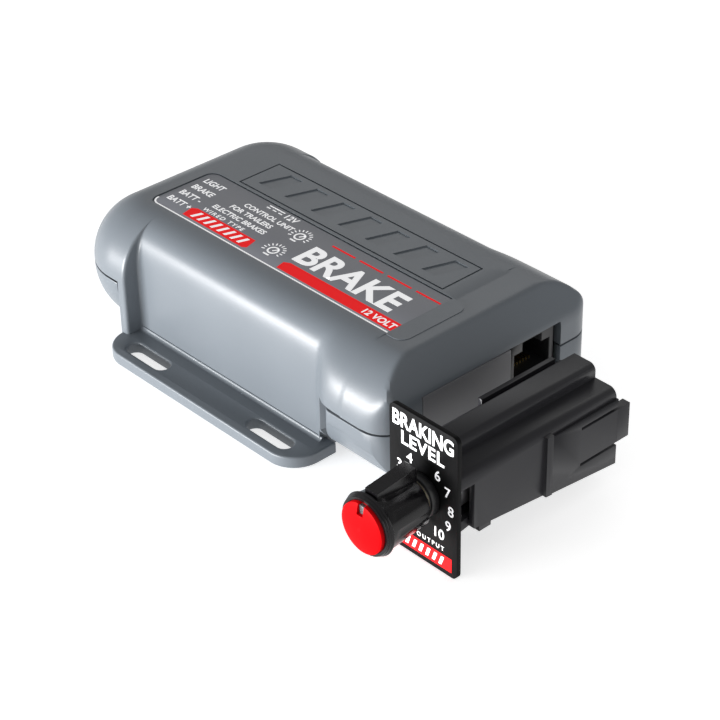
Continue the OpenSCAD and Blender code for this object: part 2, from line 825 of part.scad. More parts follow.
module pointer_fin(len) {
    top0 = knob_r + 0.6;
    top1 = knob_back_r + 3.5;
    rotate([0, 0, 180]) translate([-1.2, 0, 0]) rotate([90, 0, 90]) linear_extrude(2.4)
        polygon([[4.8, 2.2], [top0, 2.2], [top1, len - 0.6], [4.8, len - 0.6]]);
}

module knob_cap() {
    ball = 26;
    sag = ball - sqrt(ball * ball - cap_r * cap_r);
    color([0.85, 0.09, 0.12]) on_axis(knob_front - 1.6) difference() {
        intersection() {
            cylinder(h = cap_t + 1 - 0.02, r = cap_r);
            translate([0, 0, ball]) sphere(r = ball);
        }
        lens_pocket(0.05);
        translate([0, 0, cap_t + 0.9]) cylinder(h = 4, r = 2);
    }
}

module lens_pocket(grow) {
    translate([-0.9 - grow, -cap_r - 1, -1]) cube([1.8 + 2 * grow, 3.6 + grow, 3]);
}

module indicator_lens() {
    color([0.92, 0.94, 0.96, 0.7]) on_axis(knob_front - 1.6) intersection() {
        translate([-0.9, -cap_r + 0.5, 1.1]) cube([1.8, 2.1, 0.88]);
        cylinder(h = 5, r = cap_r - 0.2);
    }
}

module head_board() {
    hw = half_insert - insert_wall - 0.3;
    y0 = pot_y1 + 2.4;
    color([0.07, 0.32, 0.16]) in_head()
        translate([-hw, y0, head_board_z]) cube([2 * hw, insert_d - insert_wall - 0.4 - y0, head_board_t]);
}

module at_head_jack() {
    in_head() translate([0, insert_d - insert_wall - 0.4, head_board_top]) rotate([0, 0, 90])
        children();
}

module head_socket() { color([0.06, 0.06, 0.07]) at_head_jack() jack(); }

module head_contacts() { color([0.83, 0.68, 0.35]) at_head_jack() jack_contacts(); }

module status_led() {
    color([0.95, 0.95, 0.90]) on_axis(pot_y1 - 0.9) {
        cylinder(h = 3, r = 1.6);
        translate([0, 0, 0.95]) cylinder(h = 1.2, r = 2.2);
    }
}

upper_casing();
lower_casing();
front_panel();
top_label();
circuit_board();
data_socket();
data_contacts();
power_socket();
power_blades();
power_transistors();
heat_spreader();
capacitors();
inductor();
current_shunt();
controller_chip();
motion_sensor();
casing_screws();
insert_housing();
dial_plate();
dress_nut();
pot_bushing();
pot_body();
pot_cover();
pot_terminals();
return_spring();
wiper_rotor();
knob_shaft();
light_pipe();
knob_body();
knob_cap();
indicator_lens();
head_board();
head_socket();
head_contacts();
status_led();
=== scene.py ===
import json
import math
import bpy
import bmesh
import numpy as np
from mathutils import Matrix, Vector
from mathutils.geometry import delaunay_2d_cdt


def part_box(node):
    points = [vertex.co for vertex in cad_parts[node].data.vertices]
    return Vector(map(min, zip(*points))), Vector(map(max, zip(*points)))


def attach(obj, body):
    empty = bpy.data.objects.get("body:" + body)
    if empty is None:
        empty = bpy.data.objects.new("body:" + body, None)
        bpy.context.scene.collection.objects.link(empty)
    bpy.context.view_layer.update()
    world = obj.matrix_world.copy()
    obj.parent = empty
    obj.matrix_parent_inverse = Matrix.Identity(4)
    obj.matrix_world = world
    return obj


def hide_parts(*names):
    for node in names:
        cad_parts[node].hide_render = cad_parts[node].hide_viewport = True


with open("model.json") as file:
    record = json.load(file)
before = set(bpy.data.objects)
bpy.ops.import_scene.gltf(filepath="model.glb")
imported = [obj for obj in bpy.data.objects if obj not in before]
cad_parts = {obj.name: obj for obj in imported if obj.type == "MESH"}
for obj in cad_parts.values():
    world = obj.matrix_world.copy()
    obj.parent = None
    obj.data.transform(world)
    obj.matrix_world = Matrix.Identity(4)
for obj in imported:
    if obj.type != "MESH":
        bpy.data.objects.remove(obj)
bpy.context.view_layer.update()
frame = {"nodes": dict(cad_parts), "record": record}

# Lengths are written in millimetres and turned into metres when a mesh is made.
# The main unit and the remote head each have an origin of their own; these are their places.
unitAt = np.array((-15.225, 9.225, 0.0))
headAt = np.array((64.275, -32.875, 0.0))


class Wire:  # an output socket that takes part in sums
    def __init__(self, finish, socket):
        self.finish, self.socket = finish, socket

    def maths(self, operation, *values):
        return self.finish.node("ShaderNodeMath", {"operation": operation}, dict(enumerate(values)))

    def __add__(self, other):
        return self.maths("ADD", self, other)

    def __sub__(self, other):
        return self.maths("SUBTRACT", self, other)

    def __rsub__(self, other):
        return self.maths("SUBTRACT", other, self)

    def __mul__(self, other):
        return self.maths("MULTIPLY", self, other)

    __radd__ = __add__
    __rmul__ = __mul__


class Finish:  # one material, built round a Principled shader
    def __init__(self, name, **surface):
        self.material = bpy.data.materials.new(name)
        self.material.use_nodes = True
        self.tree = self.material.node_tree
        self.tree.nodes.clear()
        output = self.tree.nodes.new("ShaderNodeOutputMaterial")
        self.shader = self.tree.nodes.new("ShaderNodeBsdfPrincipled")
        self.tree.links.new(self.shader.outputs[0], output.inputs[0])
        for socket, value in surface.items():
            self.feed(self.shader, socket.replace("_", " "), value)
        self.place = self.node("ShaderNodeTexCoord", {}, {}, "Object")

    def feed(self, node, key, value):
        socket = node.inputs[key]
        if isinstance(value, Wire):
            self.tree.links.new(value.socket, socket)
        else:
            socket.default_value = (*value, 1) if hasattr(value, "__len__") and len(value) == 3 \
                and socket.type == "RGBA" else value

    def node(self, kind, settings, inputs, output=0):
        node = self.tree.nodes.new(kind)
        for key, value in settings.items():
            setattr(node, key, value)
        for key, value in inputs.items():
            self.feed(node, key, value)
        return Wire(self, node.outputs[output])

    def noise(self, scale, detail=3.0, rough=0.55):
        return self.node("ShaderNodeTexNoise", {},
                         {"Vector": self.place, "Scale": scale, "Detail": detail, "Roughness": rough})

    def mix(self, factor, one, two):
        return self.node("ShaderNodeMix", {"data_type": "RGBA"},
                         {0: factor, 6: one, 7: two}, 2)

    def bump(self, height, distance, strength=1.0):
        normal = self.node("ShaderNodeBump", {},
                           {"Height": height, "Distance": distance, "Strength": strength})
        self.feed(self.shader, "Normal", normal)

    def set(self, socket, value):
        self.feed(self.shader, socket, value)


def srgb(red, green, blue):
    # a display colour, 0 to 255, turned into scene-linear light
    part = np.array((red, green, blue)) / 255
    light = np.where(part <= 0.04045, part / 12.92, ((part + 0.055) / 1.055) ** 2.4)
    return tuple(light.tolist())


def mouldedPlastic(name, colour, roughness, grain, spread=0.06, grainSize=2600, uneven=1.0, shine=0.5):
    # moulded plastic: a spark-eroded grain in the bump, slow drift in colour and gloss
    finish = Finish(name, Roughness=roughness, IOR=1.5, Specular_IOR_Level=shine)
    drift = finish.noise(38, 2)
    fleck = finish.noise(grainSize, 2)
    dark = tuple(c * (1 - spread) for c in colour)
    light = tuple(min(1, c * (1 + spread)) for c in colour)
    finish.set("Base Color", finish.mix(drift * 0.7 + fleck * 0.3, dark, light))
    finish.set("Roughness", (drift - 0.5) * 0.12 * uneven + (fleck - 0.5) * 0.10 * uneven + roughness)
    finish.bump(fleck, grain)
    return finish.material


def printedInk(name, colour, paintedLightGlow, roughness=0.5):
    # screen-printed ink: slightly uneven cover, and a glow that paints light onto it so it looks brighter
    # than the light falling on it
    finish = Finish(name, Roughness=roughness, Specular_IOR_Level=0.1, Emission_Color=colour,
                    Emission_Strength=paintedLightGlow)
    cover = finish.noise(900, 3)
    finish.set("Base Color", finish.mix(cover, tuple(c * 0.93 for c in colour), colour))
    finish.set("Roughness", cover * 0.14 + (roughness - 0.07))
    return finish.material


def metal(name, colour, roughness):
    # bare metal: fine streaks in colour, gloss and height
    finish = Finish(name, Metallic=1.0, Roughness=roughness)
    streak = finish.noise(600, 4)
    finish.set("Base Color", finish.mix(streak, tuple(c * 0.85 for c in colour), colour))
    finish.set("Roughness", streak * 0.18 + (roughness - 0.09))
    finish.bump(streak, 0.00002)
    return finish.material


plastics = {
    "casing_plastic": dict(colour=srgb(98, 104, 110), roughness=0.37, grain=0.000010),
    "tray_plastic": dict(colour=srgb(98, 104, 110), roughness=0.39, grain=0.000010),
    "panel_plastic": dict(colour=srgb(100, 100, 103), roughness=0.46, grain=0.000010),
    "label_film": dict(colour=srgb(122, 124, 131), roughness=0.42, grain=0.000003, spread=0.03),
    "black_plastic": dict(colour=srgb(22, 22, 24), roughness=0.42, grain=0.000008),
    "insert_plastic": dict(colour=srgb(42, 42, 45), roughness=0.34, grain=0.000004, shine=0.22),
    "dial_film": dict(colour=srgb(10, 10, 11), roughness=0.55, grain=0.000001, uneven=0.3, shine=0.08),
    "knob_plastic": dict(colour=srgb(14, 13, 15), roughness=0.2, grain=0.0000002, uneven=0.1, shine=0.3),
    "cap_red": dict(colour=srgb(178, 2, 8), roughness=0.5, grain=0.0000005, spread=0.03, uneven=0.3,
                    shine=0.03),
    "rotor_plastic": dict(colour=srgb(224, 220, 204), roughness=0.5, grain=0.000005),
    "chip_epoxy": dict(colour=srgb(28, 28, 30), roughness=0.5, grain=0.000006),
    "capacitor_sleeve": dict(colour=srgb(30, 36, 54), roughness=0.35, grain=0.000004),
    "cover_laminate": dict(colour=srgb(92, 66, 40), roughness=0.55, grain=0.000010),
    "board_green": dict(colour=srgb(24, 92, 48), roughness=0.38, grain=0.000006, spread=0.12),
    "led_body": dict(colour=srgb(236, 236, 226), roughness=0.3, grain=0.000002),
}
metals = {
    "gold_contact": dict(colour=(0.83, 0.62, 0.26), roughness=0.28),
    "tinned_metal": dict(colour=(0.62, 0.62, 0.64), roughness=0.38),
    "steel": dict(colour=(0.55, 0.55, 0.57), roughness=0.32),
    "aluminium": dict(colour=(0.72, 0.73, 0.75), roughness=0.36),
    "brass": dict(colour=(0.66, 0.58, 0.42), roughness=0.34),
    "copper": dict(colour=(0.72, 0.40, 0.26), roughness=0.36),
    "ferrite_copper": dict(colour=(0.42, 0.24, 0.14), roughness=0.42),
}
finishes = {name: mouldedPlastic(name, **look) for name, look in plastics.items()}
finishes.update({name: metal(name, **look) for name, look in metals.items()})
clear = Finish("clear_lens", Roughness=0.12, IOR=1.49, Transmission_Weight=0.65)
clear.set("Base Color", clear.mix(clear.noise(300), (0.20, 0.20, 0.21), (0.30, 0.30, 0.31)))
finishes["clear_lens"] = clear.material
# both inks glow a little: painted light on the printing
whiteInk = printedInk("white_ink", (0.90, 0.90, 0.91), 0.40)
redInk = printedInk("red_ink", srgb(226, 18, 22), 0.45)
print("finishes ready:", len(finishes) + 2)


def newPiece(name, points, faces, material, body, slot=None, at=unitAt, crease=30):
    # points in millimetres, measured from the place given by at; faces as index lists
    mesh = bpy.data.meshes.new(name)
    mesh.from_pydata(((np.asarray(points, float) + at) * 0.001).tolist(), [],
                     [list(map(int, f)) for f in faces])
    mesh.update()
    return finishMesh(name, mesh, material, body, crease)


def finishMesh(name, mesh, material, body, crease=30):
    # makes a mesh an object of the scene, with its finish and body
    piece = bpy.data.objects.new(name, mesh)
    bpy.context.scene.collection.objects.link(piece)
    mesh.materials.clear()
    mesh.materials.append(material)
    shadeSmooth(mesh, crease)
    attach(piece, body)
    return piece


def shadeSmooth(mesh, crease):
    # smooth faces, with a sharp line where they turn by more than crease degrees
    mesh.polygons.foreach_set("use_smooth", np.ones(len(mesh.polygons), bool))
    mesh.set_sharp_from_angle(angle=math.radians(crease))


def gridFaces(rows, columns, loop=False):
    # faces of a grid with rows x columns points, columns running fastest
    across = np.arange(rows if loop else rows - 1)[:, None]
    up = np.arange(columns - 1)[None, :]
    nextRow = (across + 1) % rows
    corners = np.stack([across * columns + up, across * columns + up + 1,
                        nextRow * columns + up + 1, nextRow * columns + up], -1)
    return corners.reshape(-1, 4)


def loopsRound(spots, loops):
    # how many loops lie round each spot: a loop does when a line drawn to the right from the spot
    # crosses it an odd number of times
    count = np.zeros(len(spots), int)
    x, y = spots[:, 0, None], spots[:, 1, None]
    for loop in loops:
        (ax, ay), (bx, by) = loop.T, np.roll(loop, -1, 0).T
        cross = ax + (y - ay) * (bx - ax) / np.where(by == ay, 1, by - ay)
        count += np.sum(((ay > y) != (by > y)) & (cross > x), 1) % 2
    return count


def sheet(loops, z):
    # a flat sheet facing up, between an outer loop and the loops inside it
    loops = [np.asarray(loop, np.float32).astype(float) for loop in loops]
    first = np.cumsum([0] + [len(loop) for loop in loops])
    edges = np.concatenate([np.c_[np.arange(n), np.roll(np.arange(n), -1)] + start
                            for start, n in zip(first, map(len, loops))])
    flat, _, faces, *_ = delaunay_2d_cdt([Vector(p) for p in np.concatenate(loops)], edges.tolist(), [],
                                         1, 1e-6)
    flat, faces = np.array(flat), np.array(faces)
    a, b, c = (flat[faces[:, k]] for k in range(3))
    twice = (b - a)[:, 0] * (c - a)[:, 1] - (b - a)[:, 1] * (c - a)[:, 0]
    faces = np.where(twice[:, None] > 0, faces, faces[:, ::-1])
    faces = faces[loopsRound((a + b + c) / 3, loops) == 1]
    return np.c_[flat, np.full(len(flat), z)], faces


def tubeFaces(rows, columns):
    # faces of a grid closed both ways, like a ring made from a closed section
    first = np.arange(rows) * columns
    after = np.roll(first, -1)
    seam = np.stack([first + columns - 1, first, after, after + columns - 1], 1)
    return np.concatenate([gridFaces(rows, columns, loop=True), seam])


def wallsBetween(loop, low, high):
    # the upright walls round a loop
    n = len(loop)
    points = np.concatenate([np.c_[loop, np.full(n, low)], np.c_[loop, np.full(n, high)]])
    i = np.arange(n)
    j = (i + 1) % n
    return points, np.stack([i, j, j + n, i + n], 1)


def joined(parts):
    # parts, each an array of points and one of faces, put into one list of each
    points = [part[0] for part in parts]
    starts = np.cumsum([0] + [len(p) for p in points])
    faces = [face for part, start in zip(parts, starts) for face in (part[1] + start).tolist()]
    return np.concatenate(points), faces


def roundedBox(width, height, radius, centre=(0, 0), steps=10):
    # outline of a rectangle with rounded corners, anticlockwise
    turn = np.linspace(0, np.pi / 2, steps)
    outline = []
    for k, (sx, sy) in enumerate(((1, 1), (-1, 1), (-1, -1), (1, -1))):
        a = turn + k * np.pi / 2
        outline.append(np.c_[sx * (width / 2 - radius) + radius * np.cos(a),
                             sy * (height / 2 - radius) + radius * np.sin(a)])
    return np.concatenate(outline) + np.array(centre)


def extraDetail(piece, width, segments=2, angle=32):
    # small rounded edges on a piece that comes from the frame
    weld = piece.modifiers.new("weld", "WELD")
    weld.merge_threshold = 2e-6
    edge = piece.modifiers.new("edges", "BEVEL")
    edge.width = width * 0.001
    edge.segments = segments
    edge.limit_method = "ANGLE"
    edge.angle_limit = math.radians(angle)
    edge.harden_normals = True
    edge.use_clamp_overlap = True


slotOf = {part["node"]: part["material_slot"] for part in frame["record"]["subparts"]}
for name, node in frame["nodes"].items():
    node.data.materials.clear()
    node.data.materials.append(finishes[slotOf[name]])
    node.data.polygons.foreach_set("use_smooth", np.ones(len(node.data.polygons), bool))

edgeWidth = {"lower_casing": 0.35, "front_panel": 0.25, "data_socket": 0.2, "power_socket": 0.25,
             "insert_housing": 0.22, "dial_plate": 0.2, "dress_nut": 0.25, "head_socket": 0.2,
             "heat_spreader": 0.15, "power_transistors": 0.15, "circuit_board": 0.12,
             "knob_body": 0.25, "knob_cap": 0.2, "top_label": 0.08}
for name, width in edgeWidth.items():
    extraDetail(frame["nodes"][name], width)
print("edges rounded:", len(edgeWidth))


casing = dict(halfLength=59.5, height=33.7, topRound=15.5, lowRound=17.0, meetZ=18.02,
              noseCorner=7.5, cornerX=52.0, cornerY=27.75, coreY=19.75, noseCoreX=44.5,
              tailX=-42.0, tailCoreY=17.75, tailCore=2.0, slopeRun=5.6, slopeLow=24.5,
              waistHalf=30.8, stepX=-35.7, stepRound=0.9, flareX=31.2, flareRun=13.0, flareOut=14.0,
              rampX=32.7, skirtTail=-38.3, skirtNose=35.3, wall=2.2, shoulderBlend=5.5,
              sideBlend=0.05, endBlend=1.6, slopeBlend=1.0, topBlend=0.6)
label = dict(centre=(3.2, -9.3), size=(92.4, 20.8), round=2.6, margin=0.5, deep=0.4)
badge = dict(low=6.1, high=16.3, left=-34.5, right=40.0, line=0.5, deep=0.35, aboveLabel=0.9,
             bars=7, barFrom=4.0, barPitch=10.0, barWidth=4.6, barLean=0.35, barShort=1.6, barDrop=0.4)
openings = dict(frontPanel=((54.9, -22.95, 10.6), (63, 22.95, 24.5)),
                powerSocket=((-62, -15.3, 12.9), (-52, 15.3, 23.9)))


def softLeast(one, two, blend):
    # the smaller of two distances, rounded off where they are within blend of each other
    gap = np.maximum(blend - np.abs(one - two), 0)
    return np.minimum(one, two) - gap * gap / (4 * np.maximum(blend, 1e-6))


def waistLine(x):
    # half width of the waist at x: straight, then flaring out towards the nose
    t = np.clip((x - casing["flareX"]) / casing["flareRun"], 0, 1)
    return casing["waistHalf"] + casing["flareOut"] * t * t * (3 - 2 * t)


def stepOffsets(x, tailSide, depth):
    # what two quarter rounds take off and add on either side of the step
    size = np.clip(np.minimum(casing["stepRound"], depth / 2), 0, None)
    t = np.clip(1 - np.abs(x - casing["stepX"]) / np.maximum(size, 1e-6), 0, 1)
    return np.where(tailSide, -1, 1) * size * (1 - np.sqrt(1 - t * t))


def lowReach(z):
    # how far the rounded underside reaches out from the core line at height z
    drop = np.clip(casing["lowRound"] - z, 0, casing["lowRound"])
    return casing["topRound"] - casing["lowRound"] + np.sqrt(casing["lowRound"] ** 2 - drop ** 2)


def stationRows(*columns):
    # one row for each station: x and y of its base point, x and y of its direction, its kind
    return np.stack(np.broadcast_arrays(*columns), -1).astype(float)


def stationsRound():
    # the upright sections, clockwise seen from above; kind 0 is the nose, 1 the waist, 2 the side
    # behind the step and 3 the tail; sections crowd together where the outline turns or steps
    c = casing
    x0, nearY = c["stepX"], -c["coreY"]
    fine = np.array((0, 0.1, 0.2, 0.32, 0.45, 0.6, 0.75, 0.9))
    waistX = np.concatenate([np.linspace(c["noseCoreX"], c["skirtNose"], 12)[:-1],
                             np.linspace(c["skirtNose"], c["rampX"], 7)[:-1], [c["rampX"]],
                             np.linspace(c["rampX"] - 0.01, 30, 6), np.linspace(28, x0 + 2, 34),
                             x0 + fine[::-1]])
    tailX = np.concatenate([x0 - fine, np.linspace(x0 - 1.2, c["skirtTail"], 4),
                            np.linspace(c["skirtTail"] - 0.8, c["tailX"] + 0.6, 4)])
    noseTurn, tailTurn = np.linspace(np.pi / 2, 0, 34)[:-1], np.linspace(0, np.pi / 2, 26)
    nose = stationRows(c["noseCoreX"], np.linspace(c["coreY"], nearY, 25)[1:-1], 1, 0, 0)
    near = np.concatenate([
        stationRows(c["noseCoreX"], nearY, np.sin(noseTurn), -np.cos(noseTurn), 0),
        stationRows(waistX, nearY, 0, -1, 1),
        stationRows(tailX, nearY, 0, -1, 2),
        stationRows(c["tailX"] - c["tailCore"] * np.sin(tailTurn),
                    -c["tailCoreY"] - c["tailCore"] * np.cos(tailTurn),
                    -np.sin(tailTurn), -np.cos(tailTurn), 3)])
    tail = stationRows(c["tailX"] - c["tailCore"],
                       np.linspace(-c["tailCoreY"], c["tailCoreY"], 14)[1:-1], -1, 0, 3)
    far = (near * (1, -1, 1, -1, 1))[::-1]
    return np.concatenate([nose, near, tail, far])


def reachAlong(stations, angle):
    # distance from the core line to the skin along each ray, which rises at angle: the least of the
    # upright end, the round edge, the slope and the flat top; the waist wall is blended with the
    # round edge by adding their powers of minus shoulderBlend and taking the same root
    c = casing
    baseX, baseY, wayX, wayY, kind = (stations[:, k][:, None] for k in range(5))
    cosA, sinA = np.cos(angle)[None, :], np.sin(angle)[None, :]
    with np.errstate(divide="ignore", invalid="ignore"):
        nose = kind == 0
        rounded = np.where(nose, c["topRound"] / np.sqrt((cosA * wayY) ** 2 + sinA ** 2), c["topRound"])
        toEnd = np.where(wayX > 1e-9, (c["halfLength"] - baseX) / np.abs(wayX), np.inf)
        pastX, pastY = baseX - c["cornerX"], np.abs(baseY) - c["cornerY"]
        along = pastX * wayX + pastY * np.abs(wayY)
        inside = along ** 2 - pastX ** 2 - pastY ** 2 + c["noseCorner"] ** 2
        toArc = -along + np.sqrt(np.maximum(inside, 0))
        onArc = (pastX + toArc * wayX > 0) & (pastY + toArc * np.abs(wayY) > 0)
        upright = np.where(onArc & nose, toArc, toEnd) / np.maximum(cosA, 1e-9)
        soft = c["sideBlend"] + c["endBlend"] * np.clip(np.abs(wayX) * 1.4, 0, 1) ** 2 * nose
        reach = softLeast(upright, rounded, np.broadcast_to(soft, rounded.shape))
        rise = c["height"] - c["slopeLow"]
        slope = (rise * (c["halfLength"] - baseX) + c["slopeRun"] * (c["slopeLow"] - coreZ)) / \
            np.maximum(rise * cosA * np.maximum(wayX, 0) + c["slopeRun"] * sinA, 1e-9)
        top = (c["height"] - coreZ) / np.maximum(sinA, 1e-9)
        reach = softLeast(reach, slope, c["slopeBlend"])
        reach = softLeast(reach, np.where(nose, top, np.inf), c["topBlend"] * nose + 1e-6)
        power = c["shoulderBlend"]
        waist = (waistLine(baseX) - c["coreY"]) / np.maximum(cosA, 1e-6)
        blended = (c["topRound"] ** -power + waist ** -power) ** (-1 / power)
        straight = (c["waistHalf"] - c["coreY"]) / np.maximum(cosA, 1e-6)
        depth = c["topRound"] - (c["topRound"] ** -power + straight ** -power) ** (-1 / power)
    offset = stepOffsets(baseX, kind == 2, depth)
    reach = np.where(kind == 1, blended + offset * (baseX < c["stepX"] + 2), reach)
    return np.where(kind == 2, c["topRound"] + offset, reach)


def shellParts():
    # the upper casing's skin: a dome of rays from the core line, down to the parting line, and two
    # skirts from there to the foot; also returns the outline of the flat top
    c = casing
    stations = stationsRound()
    angle = np.linspace(0, np.pi / 2, 46)
    reach = reachAlong(stations, angle)
    base, way = stations[:, None, :2], stations[:, None, 2:4]
    plan = base + way * (reach * np.cos(angle))[..., None]
    z = coreZ + reach * np.sin(angle)
    z[:, -1] = c["height"]
    dome = np.concatenate([plan, z[..., None]], -1)
    rim = dome[:, :1].copy()
    rim[..., 2] = c["meetZ"]
    dome = np.concatenate([rim, dome], 1)
    parts = [(dome.reshape(-1, 3), gridFaces(*dome.shape[:2], loop=True))]
    heights = np.linspace(0, c["meetZ"], 16)
    x, kind = stations[:, 0], stations[:, 4]
    for sign in (-1, 1):
        use = ((kind == 1) | (kind == 2)) & (np.sign(stations[:, 3]) == sign)
        use &= (x <= c["skirtNose"] + 1e-6) & (x >= c["skirtTail"] - 1e-6)
        alongX = x[use][:, None]
        limit = np.where(alongX < c["rampX"] - 1e-6, np.inf, lowReach(heights)[None, :])
        y = sign * (c["coreY"] + np.minimum(reach[use][:, :1], limit))
        skirt = np.stack(np.broadcast_arrays(alongX, y, heights), -1)
        parts.append((skirt.reshape(-1, 3), gridFaces(*skirt.shape[:2])))
    return parts, dome[:, -1, :2]


def recessWalls(loop, low, high, island=False):
    # a recess's walls face its middle, and an island's face away from it
    points, faces = wallsBetween(loop, low, high)
    return points, faces if island else faces[:, ::-1]


def topDeck(outline):
    # the flat top with the label's recess and the badge's grooves let into it
    top = casing["height"]
    recess = roundedBox(label["size"][0] + 2 * label["margin"], label["size"][1] + 2 * label["margin"],
                        label["round"] + label["margin"], label["centre"])
    b = badge
    foot = recess[:, 1].max() + b["aboveLabel"]
    frameOut = np.array([(b["left"], foot), (b["right"], foot),
                         (b["right"], b["high"]), (b["left"], b["high"])])
    inward = np.array([(1, 1), (-1, 1), (-1, -1), (1, -1)]) * b["line"]
    frameIn = frameOut + inward
    tall = b["high"] - b["low"] - b["barShort"]
    lean, width = tall * b["barLean"], b["barWidth"]
    bar = np.array([(0, 0), (width, 0), (width + lean, tall), (lean, tall)])
    bars = [bar + (b["left"] + b["barFrom"] + b["barPitch"] * i, b["low"] - b["barDrop"])
            for i in range(b["bars"])]
    parts = [sheet([outline[::-1], recess, frameOut], top), sheet([recess], top - label["deep"]),
             sheet([frameOut, frameIn], top - b["deep"]), sheet([frameIn] + bars, top),
             recessWalls(recess, top - label["deep"], top), recessWalls(frameOut, top - b["deep"], top),
             recessWalls(frameIn, top - b["deep"], top, island=True)]
    for bar in bars:
        parts += [sheet([bar], top - b["deep"]), recessWalls(bar, top - b["deep"], top)]
    return parts


def cutBox(piece, low, high):
    # takes a box out of a closed piece; low and high in the main unit's frame
    low, high = (np.array(low, float) + unitAt) * 0.001, (np.array(high, float) + unitAt) * 0.001
    place = Matrix.Translation(Vector((low + high) / 2)) @ Matrix.Diagonal((*(high - low), 1))
    bm = bmesh.new()
    bmesh.ops.create_cube(bm, size=1, matrix=place)
    mesh = bpy.data.meshes.new("cutter")
    bm.to_mesh(mesh)
    bm.free()
    cutter = bpy.data.objects.new("cutter", mesh)
    bpy.context.scene.collection.objects.link(cutter)
    cut = piece.modifiers.new("cut", "BOOLEAN")
    cut.object, cut.operation, cut.solver = cutter, "DIFFERENCE", "EXACT"
    return cutter


def openUp(piece, boxes):
    # boxes taken out of a closed piece, and the cuts worked into its mesh
    cutters = [cutBox(piece, low, high) for low, high in boxes]
    bakeModifiers(piece)
    for cutter in cutters:
        bpy.data.objects.remove(cutter)


def bakeModifiers(piece):
    # the piece's mesh as its modifiers leave it
    graph = bpy.context.evaluated_depsgraph_get()
    made = bpy.data.meshes.new_from_object(piece.evaluated_get(graph))
    old = piece.data
    piece.modifiers.clear()
    piece.data = made
    bpy.data.meshes.remove(old)


def mergeClose(mesh, distance=2e-6):
    # points closer than distance become one, in metres
    bm = bmesh.new()
    bm.from_mesh(mesh)
    bmesh.ops.remove_doubles(bm, verts=bm.verts, dist=distance)
    bmesh.ops.dissolve_degenerate(bm, edges=bm.edges, dist=1e-7)
    bm.to_mesh(mesh)
    bm.free()


coreZ = casing["height"] - casing["topRound"]
parts, outline = shellParts()
points, faces = joined(parts + topDeck(outline))
upperCasing = newPiece("upperCasing", points, faces, finishes["casing_plastic"], "main_unit",
                       "casing_plastic")
mergeClose(upperCasing.data)
thick = upperCasing.modifiers.new("wall", "SOLIDIFY")
thick.thickness = casing["wall"] * 0.001
thick.offset = -1
bakeModifiers(upperCasing)
openUp(upperCasing, openings.values())
shadeSmooth(upperCasing.data, 30)
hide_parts("upper_casing")
print("upper casing:", len(upperCasing.data.polygons), "faces")


# a black band behind the parting line: painted shade that darkens the joint
partingShade = dict(outside=0.55, inside=1.5, low=17.2, high=18.3)
partingShadeGaps = dict(frontPanel=((50, -23.1, 16), (63, 23.1, 20)),
                powerSocket=((-62, -15.5, 16), (-50, 15.5, 20)),
                waist=((casing["stepX"] - 1.5, -60, 16), (casing["rampX"] + 2.5, 60, 20)))


def partingShadeRing(outside, inside, low, high):
    # a dark band that follows the rim all round just behind the parting gap, painted shade in the joint;
    # outside and inside give how far behind the skin its two faces lie
    stations = stationsRound()
    reach = reachAlong(stations, np.zeros(1))
    edge = [stations[:, :2] + stations[:, 2:4] * (reach - depth) for depth in (outside, inside)]
    section = [np.c_[edge[side], np.full(len(reach), z)]
               for side, z in ((0, low), (0, high), (1, high), (1, low))]
    return np.stack(section, 1).reshape(-1, 3), tubeFaces(len(reach), 4)


# black plastic behind the parting gap stands in for the shade in the joint
partingShadeBand = newPiece("partingShadeBand", *partingShadeRing(**partingShade), finishes["black_plastic"], "main_unit")
openUp(partingShadeBand, partingShadeGaps.values())
print("parting shade band:", len(partingShadeBand.data.polygons), "faces")

flange = dict(x0=-38.1, x1=36.1, inner=28.9, outer=42.65, corner=8.0, thick=3.2, edge=0.45,
              slotX=(-24.4, 22.4), slotY=37.6, slotLength=15.4, slotWidth=4.6, fillet=0.9, filletSunk=0.6)


def plateWithHoles(name, loops, low, high, edge):
    # a flat plate from outlines, with rounded edges; the outlines keep their size
    curve = bpy.data.curves.new(name, "CURVE")
    curve.dimensions, curve.fill_mode = "2D", "BOTH"
    curve.extrude = ((high - low) / 2 - edge) * 0.001
    curve.bevel_depth, curve.bevel_resolution = edge * 0.001, 3
    curve.offset = -edge * 0.001
    for loop in loops:
        spline = curve.splines.new("POLY")
        spline.points.add(len(loop) - 1)
        flat = np.c_[np.asarray(loop) * 0.001, np.zeros(len(loop)), np.ones(len(loop))]
        spline.points.foreach_set("co", flat.ravel())
        spline.use_cyclic_u = True
    holder = bpy.data.objects.new(name, curve)
    bpy.context.scene.collection.objects.link(holder)
    bpy.context.view_layer.update()
    mesh = bpy.data.meshes.new_from_object(
        holder.evaluated_get(bpy.context.evaluated_depsgraph_get()))
    bpy.data.objects.remove(holder)
    mesh.transform(Matrix.Translation((0, 0, (low + high) / 2 * 0.001)))
    mergeClose(mesh, 1e-6)
    return mesh


def stadium(x, y, length, width, steps=14):
    # outline of a slot with round ends
    a = np.linspace(-np.pi / 2, np.pi / 2, steps)
    run, r = length / 2 - width / 2, width / 2
    right = np.c_[x + run + r * np.cos(a), y + r * np.sin(a)]
    left = np.c_[x - run - r * np.cos(a), y - r * np.sin(a)]
    return np.concatenate([right, left])


def flangeOutline(sign):
    # a strip along the waist with its two outer corners rounded
    f = flange
    a = np.linspace(0, np.pi / 2, 16)
    r, xe, ye = f["corner"], f["x1"] - f["corner"], f["outer"] - f["corner"]
    outline = np.concatenate([[(f["x0"], f["inner"]), (f["x1"], f["inner"])],
                              np.c_[xe + r * np.cos(a), ye + r * np.sin(a)],
                              np.c_[f["x0"] + r - r * np.sin(a), ye + r * np.cos(a)]])
    return outline * (1, sign)


